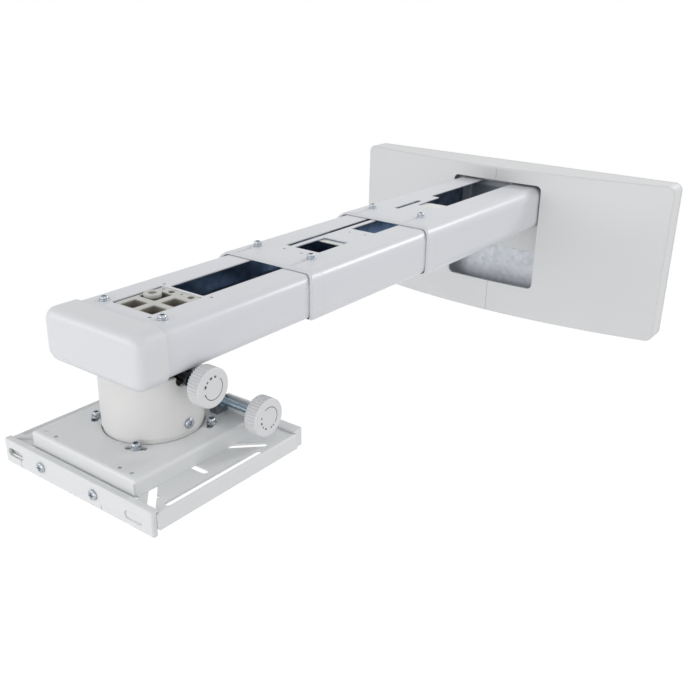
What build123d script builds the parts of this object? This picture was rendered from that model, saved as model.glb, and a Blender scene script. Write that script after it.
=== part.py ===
"""Telescoping wall mount for a short-throw projector.

The origin is the middle of the wall bolt pattern on the back face of the wall plate.
+Z is up, +Y points into the wall, and the arm reaches out along -Y.
All sizes are in millimetres.
"""

from build123d import *
from math import atan2, cos, degrees, radians, sin, tan
import os

os.makedirs("parts", exist_ok=True)

# Driving sizes of the wall end
COVER_WIDTH = 399.2
COVER_HEIGHT = 178.5
COVER_DEPTH = 52.0
COVER_SIDE_DEPTH = 27.0
COVER_WALL = 2.5
COVER_CORNER = 8.0
COVER_EDGE = 2.4
COVER_SEAM = 0.3
COVER_STANDOFF = 0.3
PLATE_SIDE_MARGIN = 13.6
PLATE_END_MARGIN = 5.25
PLATE_SHEET = 3.0
PLATE_RAISE = 26.0
WEB_RUN = 14.0
RAISED_WIDTH = 180.0
WALL_HOLE_INSET = 36.0
WALL_HOLE_Z = 50.0
WALL_HOLE = 9.0
WALL_SLOT = 22.0

# Driving sizes of the arm; every tube is one step larger than the one inside it
ARM_Z = 46.5
TUBE_WIDTH = 100.0
TUBE_HEIGHT = 38.0
TUBE_CORNER = 9.0
TUBE_WALL = 1.6
TUBE_STEP = 5.2
INNER_FRONT = -637.0
INNER_LENGTH = 292.0
MIDDLE_FRONT = -463.6
MIDDLE_LENGTH = 278.6
OUTER_FRONT = -291.0
COLLAR_GAP = 0.4
COLLAR_SETBACK = 11.6
COLLAR_ROUND = 3.0
COLLAR_DEPTH = 17.0
COLLAR_SKIRT = 8.0
GLIDE_THICK = 0.7
GLIDE_LENGTH = 24.0
CAP_FRONT = -641.0
CAP_LENGTH = 25.0
CAP_WALL = 2.0

# Driving sizes of the head
HEAD_Y = -589.0
COLUMN_RADIUS = 38.4
COLUMN_WALL = 2.5
COLUMN_TOP_DROP = 25.5
PIVOT_DROP = 64.0
RACK_RADIUS = 36.0
TILT_RANGE = 5.0
YAW_RANGE = 6.0
SWIVEL_DROP = 74.0
SWIVEL_WIDTH = 115.0
SWIVEL_LENGTH = 136.0
SWIVEL_SHEET = 2.0
SWIVEL_FLANGE = 13.0
SWIVEL_BOLT_RADIUS = 44.5
SWIVEL_BOLT_ANGLE = 32.0
ADAPTER_WIDTH = 168.0
ADAPTER_FRONT = -660.5
ADAPTER_LENGTH = 141.0
ADAPTER_SHEET = 1.6
ADAPTER_FLANGE = 12.5
SLOT_CENTRE_Y = -603.5
RAIL_LENGTH = 163.0
RAIL_HEIGHT = 19.5
REAR_RAIL_HEIGHT = 15.0
RAIL_LAP = 1.2
RAIL_SHEET = 2.0
KNOB_RADIUS = 15.0
KNOB_LENGTH = 11.6
KNOB_GROOVES = 40
ROD_RADIUS = 3.0
ROD_Y = -546.5
ROD_DROP = 63.7
YAW_KNOB_X = 67.8
TILT_KNOB_GAP = 4.4

# Clearances between mating pieces
FIT = 0.05
SLIDE = 0.3

# Sizes that follow from the driving sizes
PLATE_WIDTH = COVER_WIDTH - 2 * PLATE_SIDE_MARGIN
PLATE_HEIGHT = COVER_HEIGHT - 2 * PLATE_END_MARGIN
WEB_FOOT = RAISED_WIDTH / 2 + WEB_RUN
WEB_MITRE = PLATE_SHEET * tan(atan2(PLATE_RAISE, WEB_RUN) / 2)
WALL_HOLE_X = PLATE_WIDTH / 2 - WALL_HOLE_INSET
COLUMN_TOP = ARM_Z - COLUMN_TOP_DROP
PIVOT_Z = ARM_Z - PIVOT_DROP
SWIVEL_TOP = ARM_Z - SWIVEL_DROP
ROD_Z = ARM_Z - ROD_DROP
TILT_KNOB_X = TUBE_WIDTH / 2 + TILT_KNOB_GAP
MIDDLE_WIDTH = TUBE_WIDTH + TUBE_STEP
MIDDLE_HEIGHT = TUBE_HEIGHT + TUBE_STEP
OUTER_WIDTH = MIDDLE_WIDTH + TUBE_STEP
OUTER_HEIGHT = MIDDLE_HEIGHT + TUBE_STEP
TUBE_SPACE = TUBE_STEP / 2 - TUBE_WALL
INNER_BACK = INNER_FRONT + INNER_LENGTH
MIDDLE_BACK = MIDDLE_FRONT + MIDDLE_LENGTH
CARRIAGE_BACK = -(PLATE_RAISE + PLATE_SHEET + SLIDE)
CARRIAGE_FRONT = CARRIAGE_BACK - PLATE_SHEET
SWIVEL_UNDER = SWIVEL_TOP - SWIVEL_SHEET
ADAPTER_TOP = SWIVEL_TOP - SWIVEL_FLANGE
RACK_Z = PIVOT_Z + RACK_RADIUS
COVER_TOP = COVER_HEIGHT / 2


def across(y, x=0.0, z=0.0):
    """Plane that faces away from the wall, with its second axis up."""
    return Plane(origin=(x, y, z), x_dir=(1, 0, 0), z_dir=(0, -1, 0))


def level(z, x=0.0, y=0.0):
    """Plane that faces up."""
    return Plane(origin=(x, y, z))


def sideways(x, y=0.0, z=0.0):
    """Plane that faces +X, with its first axis towards the wall."""
    return Plane(origin=(x, y, z), x_dir=(0, 1, 0), z_dir=(1, 0, 0))


def tube(width, height, corner, front, back):
    """Rounded rectangular tube along Y about the arm's axis."""
    with BuildPart() as body:
        with BuildSketch(across(front, z=ARM_Z)):
            RectangleRounded(width, height, corner)
            RectangleRounded(width - 2 * TUBE_WALL, height - 2 * TUBE_WALL, corner - TUBE_WALL,
                             mode=Mode.SUBTRACT)
        extrude(amount=front - back)
    return body


def top_window(x_from, x_to, y_from, y_to, corner):
    """Sketch rectangle between two places in X and Y."""
    with Locations(((x_from + x_to) / 2, (y_from + y_to) / 2)):
        RectangleRounded(x_to - x_from, y_to - y_from, corner)


# Places shared by the tubes, their clamp screws and their openings
SLIT_LEFT = -20.0
SLIT_RIGHT = -14.5
OPENING_LEFT = -9.5
OPENING_RIGHT = 18.0
INNER_SCREWS = [(-31.0, -601.0), (31.0, -601.0)]
MIDDLE_SCREWS = [(-36.0, -429.0), (24.0, -429.0)]
OUTER_SCREWS = [(-35.0, -254.5), (23.0, -254.5)]
SCREW_RADIUS = 2.5
SCREW_HEAD_RADIUS = 3.4
SCREW_HEAD = 3.8
LOW_HEAD = 2.4
WASHER_RADIUS = 4.0
WASHER = 0.8
GROOVE_WIDTH = 3.0
GROOVE_DEPTH = 0.5


def clamp_holes(screws, top, mouth):
    """Tapped holes in a tube's top wall, each with a shallow lead-in groove from the mouth."""
    with BuildSketch(level(top)) as holes:
        with Locations(*screws):
            Circle(SCREW_RADIUS + FIT)
    extrude(holes.sketch, amount=-2 * TUBE_WALL, mode=Mode.SUBTRACT)
    groove_end = screws[0][1] - SCREW_HEAD_RADIUS - 4
    with BuildSketch(level(top)) as grooves:
        with Locations(*[(x, (mouth + groove_end) / 2) for x, y in screws]):
            Rectangle(GROOVE_WIDTH, groove_end - mouth)
    extrude(grooves.sketch, amount=-GROOVE_DEPTH, mode=Mode.SUBTRACT)


def pan_screw(x, y, seat, end, head=SCREW_HEAD):
    """Upright screw with a washer, a domed head and a hexagon recess, seated on `seat`."""
    head_seat = seat + WASHER
    with BuildPart() as screw:
        with BuildSketch(level(seat, x, y)):
            Circle(WASHER_RADIUS)
        extrude(amount=WASHER)
        with BuildSketch(level(head_seat, x, y)):
            Circle(SCREW_HEAD_RADIUS)
        extrude(amount=head)
        rim = screw.edges().group_by(Axis.Z)[-1]
        fillet(rim, radius=1.2)
        with BuildSketch(level(head_seat, x, y)):
            Circle(SCREW_RADIUS)
        extrude(amount=end - head_seat)
        with BuildSketch(level(head_seat + head, x, y)):
            RegularPolygon(radius=2.0, side_count=6)
        extrude(amount=-0.6 * head, mode=Mode.SUBTRACT)
    return screw


def group(pieces):
    """Separate solids that share one node."""
    return Compound(children=[piece.part for piece in pieces])


# Places shared by the wall plate, the cover and the carriage
COVER_SCREW_XS = (WEB_FOOT + 8.0, PLATE_WIDTH / 2 - 13.0)
COVER_SCREW_Y = -11.0
COVER_SCREW_RADIUS = 1.6
POST_XS = (WEB_FOOT + 11.0, COVER_WIDTH / 2 - 25.6)
POST_Z = PLATE_HEIGHT / 2 - 22.0
GUIDE_X = RAISED_WIDTH / 2 - 12.0
GUIDE_Z = PLATE_HEIGHT / 4 - 1.0
GUIDE_LENGTH = PLATE_HEIGHT / 2 - 7.4
GUIDE_WIDTH = 6.6
LIFT_TRAVEL = GUIDE_LENGTH - GUIDE_WIDTH
BOLT_RADIUS = 3.0

# Wall plate: a pressed hat section with the raised panel that the carriage slides on
with BuildPart() as wall_plate:
    half = PLATE_WIDTH / 2
    raised = RAISED_WIDTH / 2
    with BuildSketch(level(-PLATE_HEIGHT / 2)):
        with BuildLine():
            Polyline((-half, 0), (-WEB_FOOT, 0), (-raised, -PLATE_RAISE), (raised, -PLATE_RAISE),
                     (WEB_FOOT, 0), (half, 0), (half, -PLATE_SHEET),
                     (WEB_FOOT + WEB_MITRE, -PLATE_SHEET),
                     (raised + WEB_MITRE, -PLATE_RAISE - PLATE_SHEET),
                     (-raised - WEB_MITRE, -PLATE_RAISE - PLATE_SHEET),
                     (-WEB_FOOT - WEB_MITRE, -PLATE_SHEET), (-half, -PLATE_SHEET), close=True)
        make_face()
    extrude(amount=PLATE_HEIGHT)
    upright = wall_plate.edges().filter_by(Axis.Z)
    fillet(upright.filter_by(lambda e: abs(e.center().X) < half - 1), radius=1.0)
    # Lower tabs that take the cover screws
    tab_from = WEB_FOOT + 3.0
    tab_to = half - 6.0
    with BuildSketch(level(-PLATE_HEIGHT / 2)):
        with Locations(((tab_from + tab_to) / 2, -9), (-(tab_from + tab_to) / 2, -9)):
            Rectangle(tab_to - tab_from, 18)
    extrude(amount=PLATE_SHEET)
    with BuildSketch(across(-PLATE_SHEET)):
        with GridLocations(2 * WALL_HOLE_X, 2 * WALL_HOLE_Z, 2, 2):
            SlotOverall(WALL_SLOT, WALL_HOLE)
        with GridLocations(2 * WALL_HOLE_X + 44, 0, 2, 1):
            Circle(WALL_HOLE / 2)
    extrude(amount=-2 * PLATE_SHEET, mode=Mode.SUBTRACT)
    # Guide slots for the carriage bolts
    with BuildSketch(across(-PLATE_RAISE - PLATE_SHEET)):
        with GridLocations(2 * GUIDE_X, 2 * GUIDE_Z, 2, 2):
            SlotOverall(GUIDE_LENGTH, GUIDE_WIDTH, rotation=90)
    extrude(amount=-2 * PLATE_SHEET, mode=Mode.SUBTRACT)
    with BuildSketch(level(-PLATE_HEIGHT / 2, y=COVER_SCREW_Y)):
        for screw_x in COVER_SCREW_XS:
            with GridLocations(2 * screw_x, 0, 2, 1):
                Circle(COVER_SCREW_RADIUS + 2 * FIT)
    extrude(amount=PLATE_SHEET, mode=Mode.SUBTRACT)


def cover_profile(inset):
    """Half plan of the cover: a straight side wall and the front face bowed away from the wall."""
    half = COVER_WIDTH / 2 - inset
    with BuildLine() as outline:
        side = Line((0, -COVER_STANDOFF), (half, -COVER_STANDOFF))
        edge = Line(side @ 1, (half, -COVER_SIDE_DEPTH + inset))
        bow_middle = COVER_DEPTH - (COVER_DEPTH - COVER_SIDE_DEPTH) / 4 - inset
        ThreePointArc(edge @ 1, (half / 2, -bow_middle), (0, -COVER_DEPTH + inset))
        Line((0, -COVER_DEPTH + inset), side @ 0)
    make_face(outline.edges())


APERTURE_WIDTH = OUTER_WIDTH + 3.6
APERTURE_TOP = ARM_Z + 27.0
APERTURE_BOTTOM = ARM_Z - 97.0
APERTURE_CORNER = 6.0


def cover_half(side):
    """One moulded half of the cover; the other half is its mirror image."""
    with BuildPart() as half_cover:
        with BuildSketch(level(-COVER_TOP)):
            cover_profile(0)
        extrude(amount=COVER_HEIGHT)
        corners = half_cover.edges().filter_by(Axis.Y).sort_by(Axis.X)[-2:]
        fillet(corners, radius=COVER_CORNER)
        front = half_cover.faces().sort_by(Axis.Y)[0]
        front_rim = front.edges().filter_by(lambda e: e.center().X > 1)
        fillet(front_rim, radius=COVER_EDGE)
        # Hollow from the back
        with BuildSketch(level(-COVER_TOP + COVER_WALL)):
            cover_profile(COVER_WALL)
        extrude(amount=COVER_HEIGHT - 2 * COVER_WALL, mode=Mode.SUBTRACT)
        # Seam clearance
        with BuildSketch(level(-COVER_TOP)):
            with Locations((0, -COVER_DEPTH / 2)):
                Rectangle(COVER_SEAM, COVER_DEPTH + 10)
        extrude(amount=COVER_HEIGHT, mode=Mode.SUBTRACT)
        # Fine reveal groove near the wall
        with BuildSketch(across(-4.0)):
            with Locations((COVER_WIDTH / 4, 0)):
                Rectangle(COVER_WIDTH / 2 + 4, COVER_HEIGHT + 4)
            with Locations((0, 0)):
                RectangleRounded(COVER_WIDTH - 1.2, COVER_HEIGHT - 1.2, COVER_CORNER - 0.6,
                                 mode=Mode.SUBTRACT)
        extrude(amount=0.8, mode=Mode.SUBTRACT)
        # Arm aperture
        with BuildSketch(across(0, z=(APERTURE_TOP + APERTURE_BOTTOM) / 2)):
            RectangleRounded(APERTURE_WIDTH, APERTURE_TOP - APERTURE_BOTTOM, APERTURE_CORNER)
        extrude(amount=COVER_DEPTH + 10, mode=Mode.SUBTRACT)
        # Posts that rest on the wall plate, and pads under the cover screws
        with BuildSketch(across(-PLATE_SHEET - SLIDE)):
            with Locations(*[(post_x, side_z * POST_Z) for post_x in POST_XS for side_z in (-1, 1)]):
                Circle(4.5)
                Circle(1.6, mode=Mode.SUBTRACT)
        extrude(until=Until.NEXT, target=half_cover.part)
        screw_places = [(screw_x, COVER_SCREW_Y) for screw_x in COVER_SCREW_XS]
        with BuildSketch(level(-COVER_TOP + COVER_WALL)):
            with Locations(*screw_places):
                Circle(5)
        extrude(amount=PLATE_END_MARGIN - COVER_WALL - SLIDE)
        with BuildSketch(level(-COVER_TOP)):
            with Locations(*screw_places):
                Circle(COVER_SCREW_RADIUS + 3 * FIT)
        extrude(amount=8, mode=Mode.SUBTRACT)
    if side < 0:
        with BuildPart() as mirrored:
            add(mirror(half_cover.part, about=Plane.YZ, mode=Mode.PRIVATE))
        return mirrored
    return half_cover


cover_right = cover_half(1)
cover_left = cover_half(-1)


def cover_screw(x):
    """Pan screw that holds the cover to a lower tab, its head down."""
    head = 1.6
    with BuildPart() as screw:
        with BuildSketch(level(-COVER_TOP, x, COVER_SCREW_Y)):
            Circle(3.0)
        extrude(amount=-head)
        fillet(screw.edges().group_by(Axis.Z)[0], radius=0.8)
        with BuildSketch(level(-COVER_TOP, x, COVER_SCREW_Y)):
            Circle(COVER_SCREW_RADIUS)
        extrude(amount=PLATE_END_MARGIN + PLATE_SHEET + 1.5)
        with BuildSketch(level(-COVER_TOP - head, x, COVER_SCREW_Y)):
            Rectangle(3.2, 0.8)
            Rectangle(0.8, 3.2)
        extrude(amount=1.0, mode=Mode.SUBTRACT)
    return screw


cover_screws = group([cover_screw(side * x) for x in COVER_SCREW_XS for side in (-1, 1)])

# Carriage: the plate that carries the arm and can be clamped at any height
CARRIAGE_TOP = PLATE_HEIGHT / 2
CARRIAGE_BOTTOM = -10.0
UPPER_BOLT_Z = GUIDE_Z + LIFT_TRAVEL / 2
LOWER_BOLT_Z = -GUIDE_Z + LIFT_TRAVEL / 2
CARRIAGE_BOLTS = [(side * GUIDE_X, z) for side in (-1, 1) for z in (LOWER_BOLT_Z, UPPER_BOLT_Z)]
EAR_PAD_WIDTH = 20.0
EAR_PAD_HEIGHT = 16.0
with BuildPart() as carriage:
    with BuildSketch(across(CARRIAGE_BACK)):
        with Locations((0, (CARRIAGE_TOP + CARRIAGE_BOTTOM) / 2)):
            RectangleRounded(2 * GUIDE_X + EAR_PAD_WIDTH, CARRIAGE_TOP - CARRIAGE_BOTTOM, 4)
        with Locations(*[(side * GUIDE_X, LOWER_BOLT_Z) for side in (-1, 1)]):
            RectangleRounded(EAR_PAD_WIDTH, EAR_PAD_HEIGHT, 4)
        with Locations((0, ARM_Z)):
            RectangleRounded(OUTER_WIDTH - 24, OUTER_HEIGHT - 18, 6, mode=Mode.SUBTRACT)
        with Locations(*CARRIAGE_BOLTS):
            Circle(BOLT_RADIUS + 0.2, mode=Mode.SUBTRACT)
    extrude(amount=PLATE_SHEET)
    # Gussets beside the tube
    gusset_reach = 9.0
    for side in (-1, 1):
        with BuildSketch(sideways(side * (OUTER_WIDTH / 2 + 0.2), CARRIAGE_FRONT, ARM_Z)):
            with BuildLine():
                Polyline((0, -20), (0, 20), (-gusset_reach, 8), (-gusset_reach, -8), close=True)
            make_face()
        extrude(amount=side * PLATE_SHEET)


def carriage_bolt(x, z):
    """Hexagon bolt through carriage and wall plate with its square nut behind the raised panel."""
    washer = 1.2
    grip = 2 * PLATE_SHEET + 2 * SLIDE
    with BuildPart() as bolt:
        with BuildSketch(across(CARRIAGE_FRONT, x, z)):
            Circle(6.0)
        extrude(amount=washer)
        with BuildSketch(across(CARRIAGE_FRONT - washer, x, z)):
            RegularPolygon(radius=5.0, side_count=6, major_radius=False)
        extrude(amount=4.0)
        with BuildSketch(across(CARRIAGE_FRONT, x, z)):
            Circle(BOLT_RADIUS)
        extrude(amount=-grip)
        with BuildSketch(across(CARRIAGE_FRONT + grip, x, z)):
            Rectangle(10, 10)
        extrude(amount=-5.0)
    return bolt


carriage_bolts = group([carriage_bolt(x, z) for x, z in CARRIAGE_BOLTS])

# Outer tube: welded to the carriage, open along the top for the cables
outer_top = ARM_Z + OUTER_HEIGHT / 2
with BuildPart() as outer_tube:
    add(tube(OUTER_WIDTH, OUTER_HEIGHT, TUBE_CORNER + 2, OUTER_FRONT + COLLAR_DEPTH,
             CARRIAGE_FRONT))
    with BuildSketch(level(outer_top)):
        top_window(SLIT_LEFT, SLIT_RIGHT, -238, -191, 1.0)
        top_window(OPENING_LEFT, OPENING_RIGHT, -210, -42, 1.5)
        top_window(SLIT_LEFT, OPENING_LEFT + 4, -165, -42, 1.0)
    extrude(amount=-2 * TUBE_WALL, mode=Mode.SUBTRACT)
    clamp_holes(OUTER_SCREWS, outer_top, OUTER_FRONT + COLLAR_DEPTH)

# Middle tube: slides in the outer tube
middle_top = ARM_Z + MIDDLE_HEIGHT / 2
with BuildPart() as middle_tube:
    add(tube(MIDDLE_WIDTH, MIDDLE_HEIGHT, TUBE_CORNER + 1, MIDDLE_FRONT + COLLAR_DEPTH,
             MIDDLE_BACK))
    with BuildSketch(level(middle_top)):
        top_window(SLIT_LEFT, SLIT_RIGHT, -410, -262, 1.0)
        top_window(OPENING_LEFT, OPENING_RIGHT, -410.5, -367.5, 1.5)
        top_window(OPENING_LEFT, OPENING_RIGHT, -327, -262, 1.5)
        with Locations((-13, -420), (7, -421), (-3, -338), (14, -337)):
            Circle(1.4)
    extrude(amount=-2 * TUBE_WALL, mode=Mode.SUBTRACT)
    clamp_holes(MIDDLE_SCREWS, middle_top, MIDDLE_FRONT + COLLAR_DEPTH)

# Inner tube: slides in the middle tube and carries the head
inner_top = ARM_Z + TUBE_HEIGHT / 2
WINDOW_LEFT = -24.0
WINDOW_RIGHT = 20.0
WINDOW_FRONT = -600.5
WINDOW_BACK = -552.0
NECK_RADIUS = 30.0
with BuildPart() as inner_tube:
    add(tube(TUBE_WIDTH, TUBE_HEIGHT, TUBE_CORNER, INNER_FRONT, INNER_BACK))
    with BuildSketch(level(inner_top)):
        top_window(-18.2, 18.2, -549, -372, 1.5)
        top_window(WINDOW_LEFT, WINDOW_RIGHT, WINDOW_FRONT, WINDOW_BACK, 2.0)
        with Locations((22, -604.5), (-25.5, -548), (24.5, -547)):
            Circle(1.4)
        with Locations(*INNER_SCREWS):
            Circle(SCREW_RADIUS + FIT)
    extrude(amount=-2 * TUBE_WALL, mode=Mode.SUBTRACT)
    with BuildSketch(level(ARM_Z - TUBE_HEIGHT / 2, y=HEAD_Y)):
        Circle(NECK_RADIUS + SLIDE)
    extrude(amount=2 * TUBE_WALL, mode=Mode.SUBTRACT)


def mouth_cut(mouth, half_height, half_width):
    """Trim to the contour of a tube's mouth, set back along the top, the bottom and the corners."""
    crest = mouth + COLLAR_SETBACK
    waist = half_height / 2 + 1.5
    with BuildSketch(sideways(-half_width - 1, 0, ARM_Z)) as side_view:
        with BuildLine() as outline:
            middle = Line((mouth, -waist), (mouth, waist))
            upper = ThreePointArc(middle @ 1, (mouth + 0.25 * COLLAR_SETBACK, half_height - 4.0),
                                  (crest, half_height + 0.01))
            ahead = Polyline(upper @ 1, (crest, half_height + 5), (mouth - 10, half_height + 5),
                             (mouth - 10, -half_height - 5), (crest, -half_height - 5),
                             (crest, -half_height - 0.01))
            ThreePointArc(ahead @ 1, (mouth + 0.25 * COLLAR_SETBACK, -half_height + 4.0), middle @ 0)
        make_face(outline.edges())
    extrude(side_view.sketch, amount=2 * half_width + 2, mode=Mode.SUBTRACT)


def collar(width, height, corner, inner_width, inner_height, mouth, screws):
    """Moulded mouth of a tube, flush with its outside and closing the space to the tube inside."""
    with BuildPart() as ring:
        with BuildSketch(across(mouth + COLLAR_DEPTH, z=ARM_Z)):
            RectangleRounded(width, height, corner)
        extrude(amount=COLLAR_DEPTH)
        fillet(ring.faces().sort_by(Axis.Y)[0].edges(), radius=COLLAR_ROUND - COLLAR_GAP * 2)
        mouth_cut(mouth, height / 2, width / 2)
        skirt_inset = TUBE_WALL + FIT
        skirt_back = mouth + COLLAR_DEPTH + COLLAR_SKIRT
        with BuildSketch(across(skirt_back, z=ARM_Z)):
            RectangleRounded(width - 2 * skirt_inset, height - 2 * skirt_inset, corner - skirt_inset)
        extrude(amount=COLLAR_SKIRT)
        with BuildSketch(across(skirt_back, z=ARM_Z)):
            RectangleRounded(inner_width + 2 * COLLAR_GAP, inner_height + 2 * COLLAR_GAP,
                             corner - TUBE_STEP / 2 + COLLAR_GAP)
        extrude(amount=COLLAR_DEPTH + COLLAR_SKIRT, mode=Mode.SUBTRACT)
        # Lead-in grooves that end at the clamp screws
        with BuildSketch(level(ARM_Z + height / 2)):
            with Locations(*[(x, mouth + COLLAR_DEPTH / 2) for x, y in screws]):
                Rectangle(GROOVE_WIDTH, COLLAR_DEPTH)
        extrude(amount=-GROOVE_DEPTH, mode=Mode.SUBTRACT)
    return ring


middle_collar = collar(MIDDLE_WIDTH, MIDDLE_HEIGHT, TUBE_CORNER + 1, TUBE_WIDTH, TUBE_HEIGHT,
                       MIDDLE_FRONT, MIDDLE_SCREWS)
outer_collar = collar(OUTER_WIDTH, OUTER_HEIGHT, TUBE_CORNER + 2, MIDDLE_WIDTH, MIDDLE_HEIGHT,
                      OUTER_FRONT, OUTER_SCREWS)


def glide(width, height, back, top):
    """Two flat pads on opposite outer faces of a tube, near its inner end."""
    reach = height / 2 if top else width / 2
    pad_width = width * 0.3 if top else height * 0.4
    pads = []
    for side in (-1, 1):
        if top:
            plane = Plane(origin=(0, back - 6 - GLIDE_LENGTH / 2, ARM_Z + side * reach),
                          x_dir=(1, 0, 0), z_dir=(0, 0, side))
        else:
            plane = Plane(origin=(side * reach, back - 6 - GLIDE_LENGTH / 2, ARM_Z),
                          x_dir=(0, 0, 1), z_dir=(side, 0, 0))
        with BuildPart() as pad:
            with BuildSketch(plane):
                RectangleRounded(pad_width, GLIDE_LENGTH, 2)
            extrude(amount=GLIDE_THICK)
        pads.append(pad)
    return pads


inner_glides = group(glide(TUBE_WIDTH, TUBE_HEIGHT, INNER_BACK, True)
                     + glide(TUBE_WIDTH, TUBE_HEIGHT, INNER_BACK, False))
middle_glides = group(glide(MIDDLE_WIDTH, MIDDLE_HEIGHT, MIDDLE_BACK, True)
                      + glide(MIDDLE_WIDTH, MIDDLE_HEIGHT, MIDDLE_BACK, False))

inner_clamp_screws = group([pan_screw(x, y, middle_top, inner_top + SLIDE) for x, y in MIDDLE_SCREWS])
middle_clamp_screws = group([pan_screw(x, y, outer_top, middle_top + SLIDE) for x, y in OUTER_SCREWS])

# End cap: bullnosed moulding pushed over the front of the inner tube
with BuildPart() as end_cap:
    cap_width = TUBE_WIDTH + 2 * CAP_WALL + 2 * FIT
    cap_height = TUBE_HEIGHT + 2 * CAP_WALL + 2 * FIT
    with BuildSketch(across(CAP_FRONT + CAP_LENGTH, z=ARM_Z)):
        RectangleRounded(cap_width, cap_height, TUBE_CORNER + CAP_WALL)
    extrude(amount=CAP_LENGTH)
    nose = end_cap.faces().sort_by(Axis.Y)[0].edges()
    fillet(nose, radius=8.0)
    with BuildSketch(across(CAP_FRONT + CAP_LENGTH, z=ARM_Z)):
        RectangleRounded(TUBE_WIDTH + 2 * FIT, TUBE_HEIGHT + 2 * FIT, TUBE_CORNER + FIT)
    extrude(amount=CAP_FRONT + CAP_LENGTH - INNER_FRONT, mode=Mode.SUBTRACT)
    # Recess around the neck
    with BuildSketch(level(ARM_Z - cap_height / 2, y=HEAD_Y)):
        Circle(NECK_RADIUS + SLIDE)
    extrude(amount=CAP_WALL + 1, mode=Mode.SUBTRACT)

# Head core: ribbed casting inside the inner tube, with the neck that the column hangs on
CORE_FRONT = -628.0
CORE_BACK = -550.5
CORE_TOP = ARM_Z + TUBE_HEIGHT / 2 - TUBE_WALL
CORE_BOTTOM = ARM_Z - TUBE_HEIGHT / 2 + TUBE_WALL
CELL = 14.6
CELL_DEPTH = 30.0
CELL_CENTRES = [(-9.2, -591.8), (11.2, -591.8), (11.2, -571.5)]
BOSS_CENTRE = (-14.2, -569.9)
BOSS_RADIUS = 6.9
BOSS_HOLE = 3.5
BOSS_RISE = TUBE_WALL + 1.4
POCKET = 17.8
POCKET_CENTRE = (-10.9, -569.9)
POCKET_DEPTH = 18.0
EAR_RADIUS = 34.0
EAR_WIDTH = 18.0
EAR_DROP = 7.0
EAR_RISE = 30.0
NECK_RISE = 5.0
PASSAGE_RADIUS = 16.0
PASSAGE_RISE = 24.0
PIVOT_RADIUS = 3.0
SHAFT_RADIUS = 3.5
with BuildPart() as head_core:
    with BuildSketch(level(CORE_BOTTOM)):
        with Locations((0, (CORE_FRONT + CORE_BACK) / 2)):
            RectangleRounded(TUBE_WIDTH - 2 * TUBE_WALL - 2 * SLIDE, CORE_BACK - CORE_FRONT, 4)
    extrude(amount=CORE_TOP - CORE_BOTTOM)
    long_edges = head_core.edges().filter_by(Axis.Y)
    fillet(long_edges, radius=TUBE_CORNER - TUBE_WALL)
    # Panel that fills the window of the tube
    with BuildSketch(level(CORE_TOP)):
        top_window(WINDOW_LEFT + 2.6, WINDOW_RIGHT - 0.4, WINDOW_FRONT + 0.4, WINDOW_BACK - 0.4, 2.0)
    extrude(amount=TUBE_WALL - 0.3)
    # Boss that stands in a pocket as wide as a cell
    with BuildSketch(level(CORE_TOP + TUBE_WALL, *POCKET_CENTRE)):
        RectangleRounded(POCKET, POCKET, 1.6)
    extrude(amount=-TUBE_WALL - POCKET_DEPTH, mode=Mode.SUBTRACT)
    with BuildSketch(level(CORE_TOP - POCKET_DEPTH, *BOSS_CENTRE)):
        Circle(BOSS_RADIUS)
    extrude(amount=POCKET_DEPTH + BOSS_RISE)
    boss_rim = head_core.faces().sort_by(Axis.Z)[-1].edges()
    fillet(boss_rim, radius=0.8)
    with BuildSketch(level(CORE_TOP + BOSS_RISE, *BOSS_CENTRE)):
        Circle(BOSS_HOLE)
    extrude(amount=-14, mode=Mode.SUBTRACT)
    # Cells between the ribs
    with BuildSketch(level(CORE_TOP + TUBE_WALL)):
        with Locations(*CELL_CENTRES):
            RectangleRounded(CELL, CELL, 1.6)
    extrude(amount=-CELL_DEPTH, taper=2, mode=Mode.SUBTRACT)
    with BuildSketch(level(CORE_TOP + TUBE_WALL)):
        with Locations((-8.0, -556.6), (12.8, -556.6)):
            Circle(2.8)
        with Locations((2.4, -556.0), (-17.6, -556.0)):
            Circle(1.3)
    extrude(amount=-8, mode=Mode.SUBTRACT)
    # Neck with two ears for the tilt pivot that reach below it
    with BuildSketch(level(CORE_BOTTOM, y=HEAD_Y)):
        Circle(NECK_RADIUS)
    extrude(amount=PIVOT_Z + NECK_RISE - CORE_BOTTOM)
    with BuildSketch(level(PIVOT_Z - EAR_DROP, y=HEAD_Y)):
        Circle(EAR_RADIUS)
        Rectangle(2 * EAR_RADIUS, EAR_WIDTH, mode=Mode.INTERSECT)
    extrude(amount=EAR_DROP + EAR_RISE)
    # Cable passage up the middle
    with BuildSketch(level(PIVOT_Z - EAR_DROP, y=HEAD_Y)):
        Circle(PASSAGE_RADIUS)
    extrude(amount=EAR_DROP + PASSAGE_RISE, mode=Mode.SUBTRACT)
    # Bores for the pivot bolts and for the tilt shaft
    with BuildSketch(sideways(-EAR_RADIUS - 1, HEAD_Y, PIVOT_Z)):
        Circle(PIVOT_RADIUS + FIT)
    extrude(amount=2 * EAR_RADIUS + 2, mode=Mode.SUBTRACT)
    with BuildSketch(sideways(16, HEAD_Y, RACK_Z)):
        Circle(SHAFT_RADIUS + FIT)
    extrude(amount=EAR_RADIUS, mode=Mode.SUBTRACT)
    # Tapped holes for the two screws through the tube
    with BuildSketch(level(CORE_TOP)):
        with Locations(*INNER_SCREWS):
            Circle(SCREW_RADIUS + FIT)
    extrude(amount=-14, mode=Mode.SUBTRACT)

core_screws = group([pan_screw(x, y, inner_top, CORE_TOP - 12, LOW_HEAD) for x, y in INNER_SCREWS])


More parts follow.
